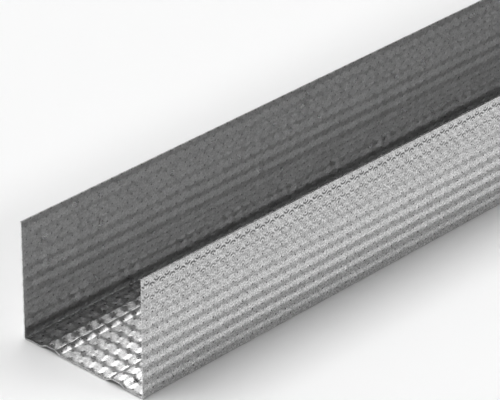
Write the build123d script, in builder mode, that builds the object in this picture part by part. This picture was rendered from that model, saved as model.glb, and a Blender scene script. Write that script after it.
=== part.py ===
"""Metal stud track: a U-shaped channel roll-formed from one strip of galvanised sheet steel.

The web lies flat on the floor, with two stiffening ribs pressed up into the channel. A leg
stands up from each long edge of the web, and wall studs are set down between the two legs.

Units are millimetres. +X runs along the track, +Y across it and +Z up the legs. The origin is
on the underside of the web, in the middle of the track's length and of its width.
"""

import os

from build123d import *

# The stud that the track takes, and the room that it has between the legs
stud_width = 63.5
stud_clearance = 0.0

# The sheet, and the tightest inside radius that it is bent to
sheet_thickness = 0.5
inside_bend_radius = 0.3

# The legs, measured from the underside of the web to their free edges
leg_height = 51.6

# The two ribs: their middles stand evenly about the middle of the web
rib_spacing = 35.1
rib_base_width = 10.2
rib_crest_width = 5.1
rib_height = 1.33

# One stock length
track_length = 3048.0

# Sizes that follow from these
web_width = stud_width + stud_clearance + 2 * sheet_thickness
outside_bend_radius = inside_bend_radius + sheet_thickness


def rib_corners(middle):
    """The rib's four corners on the underside of the sheet, from -Y to +Y, each with its radius.

    The sheet bends up at the rib's base, so its underside is outside that bend. At the crest it
    bends back, and its underside is inside.
    """
    half_base = rib_base_width / 2
    half_crest = rib_crest_width / 2
    return [
        ((middle - half_base, 0), outside_bend_radius),
        ((middle - half_crest, rib_height), inside_bend_radius),
        ((middle + half_crest, rib_height), inside_bend_radius),
        ((middle + half_base, 0), outside_bend_radius),
    ]


def underside_corners():
    """Every bend along the outer face of the strip, from the -Y leg round to the +Y leg."""
    half_web = web_width / 2
    half_spacing = rib_spacing / 2
    return [
        ((-half_web, 0), outside_bend_radius),
        *rib_corners(-half_spacing),
        *rib_corners(half_spacing),
        ((half_web, 0), outside_bend_radius),
    ]


corners = underside_corners()
leg_edges = [(side * web_width / 2, leg_height) for side in (-1, 1)]

with BuildPart() as stud_track:
    # The strip's section: its outer face, thickened inwards by the sheet
    with BuildSketch(Plane.YZ) as section:
        with BuildLine() as outer_face:
            FilletPolyline(
                leg_edges[0],
                *[point for point, radius in corners],
                leg_edges[1],
                radius=[radius for point, radius in corners],
            )
            offset(amount=sheet_thickness, side=Side.LEFT, mode=Mode.ADD)
        make_face()
    # The section is the same all the way along, as it leaves the rolls
    extrude(amount=track_length / 2, both=True)

stud_track.part.label = "stud_track"

os.makedirs("parts", exist_ok=True)
export_step(stud_track.part, "parts/stud_track.step")

print(f"web {web_width:.2f} mm, leg {leg_height:.2f} mm, length {track_length:.0f} mm")
print(f"volume {stud_track.part.volume:.1f} mm3, {len(stud_track.part.faces())} faces")
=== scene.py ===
"""The metal stud track as it looks: embossed galvanised sheet, lying on a white studio floor.

The track runs along X, with the seen cut end at low X. The near leg is at low Y. Every face of
the sheet carries the same kind of embossing: dimples that stand out of the sheet alternate with
dimples that sink into it. The whole sheet stays inside the CAD solid's box.
"""

import math

import bpy
import numpy as np
from mathutils import Matrix, Vector


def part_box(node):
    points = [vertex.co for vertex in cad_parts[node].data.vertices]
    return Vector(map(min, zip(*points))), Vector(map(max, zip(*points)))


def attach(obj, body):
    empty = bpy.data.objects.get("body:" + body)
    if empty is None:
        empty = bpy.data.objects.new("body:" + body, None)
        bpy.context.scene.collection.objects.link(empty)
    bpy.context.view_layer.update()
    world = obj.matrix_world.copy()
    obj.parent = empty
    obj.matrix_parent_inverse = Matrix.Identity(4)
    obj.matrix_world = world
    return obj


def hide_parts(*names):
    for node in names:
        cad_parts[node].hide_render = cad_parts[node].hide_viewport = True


MM = 0.001

# The sheet, its inside bend radius, and where a leg bend's lines run, in degrees from the leg
SHEET = 0.5 * MM
BEND_RADIUS = 0.3 * MM
BEND_ANGLES = (0.0, 30.0, 60.0)

# The dimples' lattice: lines to a period, and the least share of a spacing from a line to a face's end
PERIOD_LINES = 4
END_MARGIN = 0.25

# The two ribs of the web, and how far from the middle of each rib bend its two lines run
RIB_MIDDLE = 17.55 * MM
RIB_HALF_BASE = 5.1 * MM
RIB_HALF_CREST = 2.55 * MM
RIB_HEIGHT = 1.33 * MM
RIB_BEND_REACH = 0.25 * MM

# The small pin mark in the middle of each dimple, in millimetres
PIN_RADIUS, PIN_HEIGHT = 0.3, 0.05

# The zinc's colour, and how much its clouds and the dimples' marks change it and its roughness
ZINC = (0.56, 0.56, 0.56)
CLOUD_TONE, CLOUD_ROUGHNESS, MARK_ROUGHNESS = 0.25, 0.15, 0.15

# The zinc's noises, with scales per metre and the grain's height in millimetres
GRAIN_SCALE, GRAIN_DETAIL, GRAIN_ROUGHNESS, GRAIN_HEIGHT = 1100.0, 2.0, 0.6, 0.03
CLOUD_SCALE, CLOUD_DETAIL = 160.0, 3.0
SPECK_SCALE, SPECK_DETAIL = 1500.0, 1.0
NOISE_MIDDLE = 0.5

# The painted dark reflections, crescents near a leg's free edge: radius and half width in millimetres,
# and lowest height
PAINTED_REFLECTION_RADIUS, PAINTED_REFLECTION_WIDTH, PAINTED_REFLECTION_FROM = 1.3, 0.5, 28 * MM

# How dark the painted reflections get, and how much of their ring is fully dark
PAINTED_REFLECTION_TONE, PAINTED_REFLECTION_FACING = 0.9, 2.0

# Each face's zinc: roughness, strength of its specks, and radius in millimetres and strength of its marks
WEB_ZINC = (0.28, 1.0, 0.65, 0.95)
NEAR_LEG_ZINC = (0.2, 2.0, 0.48, 0.85)
FAR_LEG_ZINC = (0.3, 0.8, 0.48, 0.55)

# The camera, from the outline of the track in the photograph
CAMERA_FROM_END = (-723.7 * MM, -760.2 * MM, 641.3 * MM)
CAMERA_YAW = 42.972
CAMERA_PITCH = 28.475
CAMERA_ROLL = -0.271
FOCAL_PIXELS = 3242.4
PHOTO_WIDTH = 500
SENSOR_WIDTH = 36.0
CLIP_START, CLIP_END = 0.01, 200.0

# The softboxes: angle round the track and along it, in degrees, size in metres, and brightness
SOFTBOXES = {
    "overhead_softbox": (105, 18, (10.9, 6.6), 2.6),
    "left_softbox": (108, -25, (5.1, 5.7), 4.2),
    "side_softbox": (31, 27, (5.1, 1.4), 14.0),
    "back_softbox": (135, 14, (8.6, 4.3), 1.1),
}
SOFTBOX_DISTANCE = 10.0
AIM_FROM_END = 0.15

# The dim room round the softboxes, and the floor
ROOM = 0.04
FLOOR_SIZE = 60.0
FLOOR_WHITE = 0.95

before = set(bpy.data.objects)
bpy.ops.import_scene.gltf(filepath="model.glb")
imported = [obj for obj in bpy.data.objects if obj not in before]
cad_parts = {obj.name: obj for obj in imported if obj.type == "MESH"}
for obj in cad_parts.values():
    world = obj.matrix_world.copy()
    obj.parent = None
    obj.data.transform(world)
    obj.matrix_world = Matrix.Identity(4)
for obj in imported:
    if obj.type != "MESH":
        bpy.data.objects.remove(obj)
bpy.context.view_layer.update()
low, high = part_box("stud_track")
LENGTH = high.x - low.x
WIDTH = high.y - low.y
HEIGHT = high.z - low.z
CUT_END = low.x
BEND = BEND_RADIUS + SHEET / 2


class Emboss:
    """How one face is embossed: half periods along the track, the period across the sheet, how far a
    dimple leaves the sheet's mean plane, how much steeper than the facets its shading is, the shares of
    its height that are waves along the track and across the sheet, how round its dimples are, from a
    plain egg crate (0) upwards, one sunk dimple's place from the cut end and across the sheet, and the
    quarter turn (1 or -1) from the sheet's normal to rising across."""

    def __init__(self, half_periods, row_period, relief, gain, shares, roundness, dimple, turn):
        self.relief, self.gain, self.shares, self.roundness = relief, gain, shares, roundness
        self.half_along, self.half_across = LENGTH / half_periods, row_period / 2
        self.dimple, self.turn = dimple, turn


WEB = Emboss(
    half_periods=918, row_period=5.47 * MM, relief=0.25 * MM, gain=1.5,
    shares=(0.7, 0.3), roundness=0.08, dimple=(2.11 * MM, 13.6 * MM), turn=1,
)
NEAR_LEG = Emboss(
    half_periods=1127, row_period=5.455 * MM, relief=0.15 * MM, gain=1.7,
    shares=(0.15, 0.85), roundness=0.05, dimple=(2.6 * MM, 49.64 * MM), turn=1,
)
FAR_LEG = Emboss(
    half_periods=1127, row_period=5.455 * MM, relief=0.15 * MM, gain=1.0,
    shares=(0.15, 0.85), roundness=0.1, dimple=(2.05 * MM, 48.56 * MM), turn=-1,
)


class Row:
    """One line of nodes along the track, on the middle of the sheet."""

    def __init__(self, y, z, normal, across, index=None, relief=1.0):
        self.y, self.z, self.normal = y, z, normal
        self.across, self.index, self.relief = across, index, relief


def lattice_lines(start, end, dimple, quarter):
    """(place, index) of the lines from start to end. The first of each four runs through sunk dimples."""
    first = math.ceil((start - dimple) / quarter + END_MARGIN)
    last = math.floor((end - dimple) / quarter - END_MARGIN)
    lines = [(dimple + i * quarter, i) for i in range(first, last + 1)]
    return [(start, None)] + lines + [(end, None)]


def dimples(along, across, emboss):
    """Height and slopes, as shares of the relief, of the embossing at one place."""
    turn_along, turn_across = math.pi / emboss.half_along, math.pi / emboss.half_across
    u = (along - emboss.dimple[0]) * turn_along
    v = (across - emboss.dimple[1]) * turn_across
    cu, cv = np.cos(u), np.cos(v)
    waves = emboss.shares[0] * cu + emboss.shares[1] * cv
    rounding = 1 - 2 * emboss.roundness + 4 * emboss.roundness * cu * cv
    whole = 1 + 2 * emboss.roundness
    by_cu = -(emboss.shares[0] * rounding + 4 * emboss.roundness * waves * cv) / whole
    by_cv = -(emboss.shares[1] * rounding + 4 * emboss.roundness * waves * cu) / whole
    return -waves * rounding / whole, -by_cu * np.sin(u) * turn_along, -by_cv * np.sin(v) * turn_across


def middles(indices):
    """The lines through dimples, the even ones, that have a line of the lattice on both sides."""
    inner = range(1, len(indices) - 1)
    return {k for k in inner if None not in indices[k - 1:k + 2] and indices[k] % 2 == 0}


def faces_of_sheet(columns, rows, spare_along):
    """The faces between the nodes, each a list of (column, row). Where a dimple's own nine nodes are all
    there, it is a fan round its middle, and a flat between dimples is one face. The nodes between two
    middles are spared, either along the track or across it."""
    column_index = [c[1] for c in columns]
    row_index = [r.index for r in rows]
    middle_columns, middle_rows = middles(column_index), middles(row_index)
    spared = set()
    for r in middle_rows:
        for c in middle_columns:
            # A flat between dimples needs no node in its middle
            if (column_index[c] - row_index[r]) % PERIOD_LINES:
                spared.add((c, r))
            if spare_along and c + 2 in middle_columns:
                spared.add((c + 1, r))
            if not spare_along and r + 2 in middle_rows:
                spared.add((c, r + 1))
    faces = []
    done = set()
    ring = [(-1, -1), (0, -1), (1, -1), (1, 0), (1, 1), (0, 1), (-1, 1), (-1, 0)]
    for r in middle_rows:
        for c in middle_columns:
            around = [(c + i, r + j) for i, j in ring if (c + i, r + j) not in spared]
            if (c, r) in spared:
                faces.append(around)
            else:
                faces += [[(c, r), p, q] for p, q in zip(around, around[1:] + around[:1])]
            done.update((c + i, r + j) for i in (-1, 0) for j in (-1, 0))
    for r in range(len(rows) - 1):
        for c in range(len(columns) - 1):
            if (c, r) not in done:
                faces.append([(c, r), (c + 1, r), (c + 1, r + 1), (c, r + 1)])
    return faces


class SheetNodes:
    """One piece's nodes on the middle of the sheet: their places, the sheet's directions there, the share
    of the relief that is left, the embossing's height, and the directions that shade its slopes."""

    def __init__(self, nodes, columns, rows, emboss):
        column = np.array([n[0] for n in nodes])
        row = np.array([n[1] for n in nodes])
        self.along = np.array([c[0] for c in columns])[column]
        self.across = np.array([r.across for r in rows])[row]
        self.share = np.array([r.relief for r in rows])[row]
        self.middle = np.array([(r.y, r.z) for r in rows])[row]
        self.normal = np.array([r.normal for r in rows])[row]
        height, slope_along, slope_across = dimples(self.along, self.across, emboss)
        self.height = height * self.share * emboss.relief
        tilt_along = slope_along * self.share * emboss.relief * emboss.gain
        tilt_across = slope_across * self.share * emboss.relief * emboss.gain
        tangent = np.stack([self.normal[:, 1] * emboss.turn, self.normal[:, 0] * -emboss.turn], 1)
        self.shade = np.zeros((len(nodes), 3))
        self.shade[:, 0] = -tilt_along
        self.shade[:, 1:] = self.normal - tangent * tilt_across[:, None]
        self.shade /= np.linalg.norm(self.shade, axis=1)[:, None]

    def side(self, offset):
        """The points at this distance from the middle of the sheet."""
        place = self.middle + self.normal * (self.height + offset)[:, None]
        return np.column_stack([CUT_END + self.along, place])


def sides_and_walls(outer, points, normal):
    """The faces of the outer side, of the inner side and of the walls along the border."""
    # Turn the faces so that the outer side looks along the normal
    p = points[outer[0]]
    if np.cross(p, np.roll(p, -1, axis=0)).sum(axis=0)[1:] @ normal[outer[0][0]] < 0:
        outer = [f[::-1] for f in outer]
    count = len(normal)
    inner = [[k + count for k in f[::-1]] for f in outer]
    edges = dict.fromkeys((n, f[(k + 1) % len(f)]) for f in outer for k, n in enumerate(f))
    border = [(p, q) for p, q in edges if (q, p) not in edges]
    walls = [[q, p, p + count, q + count] for p, q in border]
    return outer, inner, walls


def wall_directions(points, walls):
    """Each wall's own direction, at each of its corners."""
    a, b, c = (points[[w[k] for w in walls]] for k in (0, 1, 2))
    facing = np.cross(b - a, c - b)
    facing /= np.linalg.norm(facing, axis=1)[:, None]
    return np.repeat(facing, len(walls[0]), axis=0)


def add_directions(mesh, sheet, wall_shades, emboss):
    """The mesh's own normals, and at each corner what the material reads there."""
    corners = np.empty(len(mesh.loops), np.int32)
    mesh.loops.foreach_get("vertex_index", corners)
    of_walls = slice(-len(wall_shades), None)
    shades = np.vstack([sheet.shade, -sheet.shade])[corners]
    shades[of_walls] = wall_shades
    mesh.polygons.foreach_set("use_smooth", np.ones(len(mesh.polygons), bool))
    mesh.normals_split_custom_set(shades.tolist())

    # The plain sheet's direction, and the place in the lattice with the share of the relief
    plain = np.zeros_like(sheet.shade)
    plain[:, 1:] = sheet.normal
    plain = np.vstack([plain, -plain])[corners]
    plain[of_walls] = wall_shades
    lattice = np.column_stack([
        (sheet.along - emboss.dimple[0]) / (2 * emboss.half_along),
        (sheet.across - emboss.dimple[1]) / (2 * emboss.half_across),
        sheet.share,
    ])
    lattice = np.vstack([lattice, lattice * (1, 1, -1)])[corners]
    lattice[of_walls, 2] = 0.0
    for label, values in (("sheet_normal", plain), ("embossing", lattice)):
        attribute = mesh.attributes.new(label, "FLOAT_VECTOR", "CORNER")
        attribute.data.foreach_set("vector", values.astype(np.float32).ravel())


def closed_piece(name, faces, columns, rows, emboss, material):
    """A closed mesh of the sheet's two sides over these faces, with walls along their border."""
    nodes = sorted({n for f in faces for n in f})
    number = {n: k for k, n in enumerate(nodes)}
    sheet = SheetNodes(nodes, columns, rows, emboss)
    points = np.vstack([sheet.side(SHEET / 2), sheet.side(-SHEET / 2)])
    numbered = [[number[n] for n in f] for f in faces]
    outer, inner, walls = sides_and_walls(numbered, points, sheet.normal)
    mesh = bpy.data.meshes.new(name)
    mesh.from_pydata(points.tolist(), [], outer + inner + walls)
    add_directions(mesh, sheet, wall_directions(points, walls), emboss)
    mesh.materials.append(material)
    piece = bpy.data.objects.new(name, mesh)
    bpy.context.scene.collection.objects.link(piece)
    return piece


def embossed(name, lengths, rows, emboss, spare_along, material):
    """One face of the track, in these lengths, cut between two dimples."""
    columns = lattice_lines(0.0, LENGTH, emboss.dimple[0], emboss.half_along / 2)
    faces = faces_of_sheet(columns, rows, spare_along)
    cuts = [0]
    for k in range(1, len(lengths)):
        cut = len(columns) * k // len(lengths)
        while columns[cut][1] % PERIOD_LINES != 1:
            cut += 1
        cuts.append(cut)
    cuts.append(len(columns))
    for label, start, end in zip(lengths, cuts, cuts[1:]):
        group = [f for f in faces if start < max(n[0] for n in f) <= end]
        piece = closed_piece(f"{name}_{label}", group, columns, rows, emboss, material)
        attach(piece, "root")
        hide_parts("stud_track")


def leg_rows(side, emboss):
    """The lines of a leg, from the top of its bend to its free edge."""
    foot = SHEET / 2 + BEND
    level = WIDTH / 2 - emboss.relief - SHEET / 2
    lines = lattice_lines(foot, HEIGHT, emboss.dimple[1], emboss.half_across / 2)
    rows = [Row(side * level, z, (side, 0.0), z, index) for z, index in lines]
    rows[0].y, rows[0].relief = side * (WIDTH - SHEET) / 2, 0.0
    return rows


def web_profile(y):
    """Height and normal of the middle of the web, without its embossing."""
    slope = RIB_HALF_BASE - RIB_HALF_CREST
    lift = (RIB_HALF_BASE - abs(abs(y) - RIB_MIDDLE)) / slope
    z = WEB.relief + SHEET / 2 + RIB_HEIGHT * min(1.0, max(0.0, lift))
    tilt = math.atan2(RIB_HEIGHT, slope) if 0 < lift < 1 else 0.0
    outwards = math.copysign(1, y) * math.copysign(1, abs(y) - RIB_MIDDLE)
    return z, (outwards * math.sin(tilt), math.cos(tilt))


def web_rows():
    """The lines of the web and of both leg bends, from the near leg to the far one."""
    edge = (WIDTH - SHEET) / 2 - BEND
    places = lattice_lines(-edge, edge, WEB.dimple[1], WEB.half_across / 2)
    # Two more lines at each rib bend
    for rib in (-RIB_MIDDLE, RIB_MIDDLE):
        for reach in (RIB_HALF_BASE, RIB_HALF_CREST):
            for bend in (rib - reach, rib + reach):
                places += [(bend - RIB_BEND_REACH, None), (bend + RIB_BEND_REACH, None)]
    rows = [Row(y, *web_profile(y), y, index) for y, index in sorted(places, key=lambda p: p[0])]
    for row in (rows[0], rows[-1]):
        row.z, row.relief = SHEET / 2, 0.0
    return [*bend_rows(-1), *rows, *bend_rows(1)[::-1]]


def bend_rows(side):
    """The lines of a leg's bend, from the leg down to the web."""
    rows = []
    for angle in BEND_ANGLES:
        a = math.radians(angle)
        y = side * (WIDTH / 2 - SHEET / 2 - BEND + BEND * math.cos(a))
        z = SHEET / 2 + BEND - BEND * math.sin(a)
        # The web's normal looks up, into the channel, so a bend's normal looks inwards too
        rows.append(Row(y, z, (-side * math.cos(a), math.sin(a)), y, None, 0.0))
    return rows


class Nodes:
    """Short ways to add and join shader nodes."""

    def __init__(self, material):
        self.tree = material.node_tree

    def add(self, kind, inputs=(), **settings):
        node = self.tree.nodes.new("ShaderNode" + kind)
        for key, value in settings.items():
            setattr(node, key, value)
        pairs = inputs.items() if isinstance(inputs, dict) else enumerate(inputs)
        for key, value in pairs:
            if isinstance(value, bpy.types.NodeSocket):
                self.tree.links.new(value, node.inputs[key])
            else:
                node.inputs[key].default_value = value
        return node

    def math(self, operation, *inputs):
        return self.add("Math", inputs, operation=operation).outputs[0]

    def vector(self, operation, *inputs):
        if operation == "SCALE":
            inputs = {"Vector": inputs[0], "Scale": inputs[1]}
        node = self.add("VectorMath", inputs, operation=operation)
        return node.outputs["Value" if operation == "LENGTH" else "Vector"]

    def attribute(self, name):
        return self.add("Attribute", attribute_name=name).outputs["Vector"]

    def noise(self, place, scale, detail, roughness=0.5):
        inputs = {"Vector": place, "Scale": scale, "Detail": detail, "Roughness": roughness}
        return self.add("TexNoise", inputs).outputs["Fac"]

    def wander(self, noise, strength, value):
        """The value, changed a little to either side by a noise."""
        return self.math("MULTIPLY_ADD", self.math("SUBTRACT", noise, NOISE_MIDDLE), strength, value)

    def hump(self, distance, radius):
        """1 in the middle, and falling to 0 at the radius."""
        squared = self.math("MULTIPLY", distance, distance)
        return self.math("MAXIMUM", self.math("MULTIPLY_ADD", squared, -1 / radius**2, 1.0), 0.0)

    def link(self, output, node, name):
        self.tree.links.new(output, node.inputs[name])


def from_dimple(n, emboss, place, shift):
    """The offset and the distance, in millimetres, from the nearest sunk (0.5) or raised (0) dimple."""
    spacing = (2 * emboss.half_along / MM, 2 * emboss.half_across / MM, 0.0)
    moved = n.vector("ADD", place, (shift, shift, 0))
    cell = n.vector("SUBTRACT", n.vector("FRACTION", moved), (0.5, 0.5, 0))
    offset = n.vector("MULTIPLY", cell, spacing)
    return offset, n.vector("LENGTH", offset)


def relief_height(n, emboss, place, pins):
    """The embossing's height in millimetres: what the mesh has, but finer and steeper, with pin marks."""
    split = n.add("SeparateXYZ", [place])
    along = n.math("COSINE", n.math("MULTIPLY", split.outputs["X"], 2 * math.pi))
    across = n.math("COSINE", n.math("MULTIPLY", split.outputs["Y"], 2 * math.pi))
    both = n.math("MULTIPLY", along, across)
    rounding = n.math("MULTIPLY_ADD", both, 4 * emboss.roundness, 1 - 2 * emboss.roundness)
    depth = -emboss.gain * emboss.relief / MM / (1 + 2 * emboss.roundness)
    waves_across = n.math("MULTIPLY", across, depth * emboss.shares[1])
    waves = n.math("MULTIPLY_ADD", along, depth * emboss.shares[0], waves_across)
    height = n.math("MULTIPLY_ADD", pins, PIN_HEIGHT, n.math("MULTIPLY", waves, rounding))
    return n.math("MULTIPLY", height, split.outputs["Z"])


def crescent(n, dimple, side):
    """A crescent round each dimple of one kind, over it (1) or under it (-1), fading towards its tips."""
    offset, distance = dimple
    up = n.add("SeparateXYZ", [offset]).outputs["Y"]
    facing = n.math("DIVIDE", n.math("MULTIPLY", up, PAINTED_REFLECTION_FACING * side), distance)
    facing = n.math("MINIMUM", n.math("MAXIMUM", facing, 0.0), 1.0)
    ring = n.hump(n.math("SUBTRACT", distance, PAINTED_REFLECTION_RADIUS), PAINTED_REFLECTION_WIDTH)
    return n.math("MULTIPLY", ring, facing)


def painted_reflections_near_edge(n, spot, share, sunk, raised):
    """Painted dark reflections: towards a leg's free edge, a dark crescent under each sunk dimple and
    over each raised one, on the outside. They stand in for the dark surroundings that those dimples'
    upward slopes would reflect."""
    painted_dark_reflections = n.math("ADD", crescent(n, sunk, -1), crescent(n, raised, 1))
    near_edge = n.add("MapRange", {
        "Value": n.add("SeparateXYZ", [spot]).outputs["Z"],
        "From Min": PAINTED_REFLECTION_FROM, "From Max": HEIGHT, "To Min": 0.0, "To Max": PAINTED_REFLECTION_TONE,
    })
    outside = n.math("MAXIMUM", share, 0.0)
    return n.math("MULTIPLY", painted_dark_reflections, n.math("MULTIPLY", near_edge.outputs[0], outside))


def galvanised(name, emboss, zinc):
    """Zinc-coated steel with the fine shape of its dimples and their dull dark marks."""
    roughness, speckle, mark_radius, mark_tone = zinc
    material = bpy.data.materials.new(name)
    material.use_nodes = True
    n = Nodes(material)
    shader = material.node_tree.nodes["Principled BSDF"]
    shader.inputs["Metallic"].default_value = 1.0
    spot = n.add("TexCoord").outputs["Object"]
    place = n.attribute("embossing")
    share = n.add("SeparateXYZ", [place]).outputs["Z"]
    sunk, raised = (from_dimple(n, emboss, place, shift) for shift in (0.5, 0.0))

    pins = n.math("SUBTRACT", n.hump(raised[1], PIN_RADIUS), n.hump(sunk[1], PIN_RADIUS))
    grain = n.noise(spot, GRAIN_SCALE, GRAIN_DETAIL, GRAIN_ROUGHNESS)
    height = n.math("MULTIPLY_ADD", grain, GRAIN_HEIGHT, relief_height(n, emboss, place, pins))
    own = n.attribute("sheet_normal")
    bump = n.add("Bump", {"Strength": 1.0, "Distance": MM, "Height": height, "Normal": own})
    n.link(bump.outputs[0], shader, "Normal")

    marks = n.math("MAXIMUM", n.hump(raised[1], mark_radius), n.hump(sunk[1], mark_radius))
    marks = n.math("MULTIPLY", marks, n.math("ABSOLUTE", share))
    # Painted dark reflections near a leg's free edge, darkened into the zinc's colour
    painted_dark_reflections = painted_reflections_near_edge(n, spot, share, sunk, raised)
    cloud = n.noise(spot, CLOUD_SCALE, CLOUD_DETAIL)
    speck = n.noise(spot, SPECK_SCALE, SPECK_DETAIL)
    tone = n.wander(speck, speckle, n.wander(cloud, CLOUD_TONE, 1.0))
    tone = n.math("MULTIPLY", tone, n.math("MULTIPLY_ADD", marks, -mark_tone, 1.0))
    # The painted dark reflections darken the colour here
    tone = n.math("MULTIPLY", tone, n.math("SUBTRACT", 1.0, painted_dark_reflections))
    n.link(n.vector("SCALE", ZINC, tone), shader, "Base Color")
    dull = n.wander(cloud, CLOUD_ROUGHNESS, n.math("MULTIPLY_ADD", marks, MARK_ROUGHNESS, roughness))
    n.link(dull, shader, "Roughness")
    return material


def floor_material():
    material = bpy.data.materials.new("floor_white")
    material.use_nodes = True
    shader = material.node_tree.nodes["Principled BSDF"]
    shader.inputs["Base Color"].default_value = (FLOOR_WHITE, FLOOR_WHITE, FLOOR_WHITE, 1)
    shader.inputs["Roughness"].default_value = 1.0
    shader.inputs["Specular IOR Level"].default_value = 0.0
    return material


def make_floor():
    mesh = bpy.data.meshes.new("studio_floor")
    h = FLOOR_SIZE / 2
    mesh.from_pydata([(-h, -h, 0), (h, -h, 0), (h, h, 0), (-h, h, 0)], [], [(0, 1, 2, 3)])
    mesh.materials.append(floor_material())
    floor = bpy.data.objects.new("studio_floor", mesh)
    bpy.context.scene.collection.objects.link(floor)


def make_camera():
    yaw, pitch, roll = (math.radians(a) for a in (CAMERA_YAW, CAMERA_PITCH, CAMERA_ROLL))
    forward = Vector((
        math.cos(yaw) * math.cos(pitch), math.sin(yaw) * math.cos(pitch), -math.sin(pitch)
    ))
    right = Vector((math.sin(yaw), -math.cos(yaw), 0.0))
    down = forward.cross(right)
    rolled_right = math.cos(roll) * right + math.sin(roll) * down
    rolled_down = -math.sin(roll) * right + math.cos(roll) * down
    data = bpy.data.cameras.new("camera")
    data.sensor_fit = "HORIZONTAL"
    data.sensor_width = SENSOR_WIDTH
    data.lens = FOCAL_PIXELS * SENSOR_WIDTH / PHOTO_WIDTH
    data.clip_start, data.clip_end = CLIP_START, CLIP_END
    camera = bpy.data.objects.new("camera", data)
    axes = Matrix((rolled_right, -rolled_down, -forward)).transposed().to_4x4()
    place = Vector((CUT_END, 0, 0)) + Vector(CAMERA_FROM_END)
    camera.matrix_world = Matrix.Translation(place) @ axes
    bpy.context.scene.collection.objects.link(camera)
    bpy.context.scene.camera = camera


def softbox(name, rise, turn, size, brightness):
    """A plain rectangular softbox that looks at the seen end of the track. rise is its angle round the
    track, from the near side's horizon over the top, and turn its angle along the track, in degrees."""
    rise, turn = math.radians(rise), math.radians(turn)
    towards = Vector((
        math.sin(turn), -math.cos(rise) * math.cos(turn), math.sin(rise) * math.cos(turn)
    ))
    data = bpy.data.lights.new(name, "AREA")
    data.shape = "RECTANGLE"
    data.size, data.size_y = size
    data.energy = brightness * math.pi * size[0] * size[1]
    lamp = bpy.data.objects.new(name, data)
    x = (Vector((1, 0, 0)) - towards * towards.x).normalized()
    axes = Matrix((x, towards.cross(x), towards)).transposed().to_4x4()
    aim = Vector((CUT_END + AIM_FROM_END, 0, 0))
    lamp.matrix_world = Matrix.Translation(aim + towards * SOFTBOX_DISTANCE) @ axes
    bpy.context.scene.collection.objects.link(lamp)


def make_lights():
    for name, values in SOFTBOXES.items():
        softbox(name, *values)
    world = bpy.data.worlds.new("studio")
    bpy.context.scene.world = world
    world.use_nodes = True
    background = world.node_tree.nodes["Background"]
    background.inputs["Color"].default_value = (1, 1, 1, 1)
    background.inputs["Strength"].default_value = ROOM


zinc_web = galvanised("zinc_web", WEB, WEB_ZINC)
zinc_near = galvanised("zinc_near_leg", NEAR_LEG, NEAR_LEG_ZINC)
zinc_far = galvanised("zinc_far_leg", FAR_LEG, FAR_LEG_ZINC)
embossed("web", ("front", "middle", "back"), web_rows(), WEB, False, zinc_web)
embossed("near_leg", ("front", "back"), leg_rows(-1, NEAR_LEG), NEAR_LEG, True, zinc_near)
embossed("far_leg", ("front", "back"), leg_rows(1, FAR_LEG), FAR_LEG, True, zinc_far)
make_floor()
make_camera()
make_lights()
bpy.context.scene.view_settings.view_transform = "Standard"
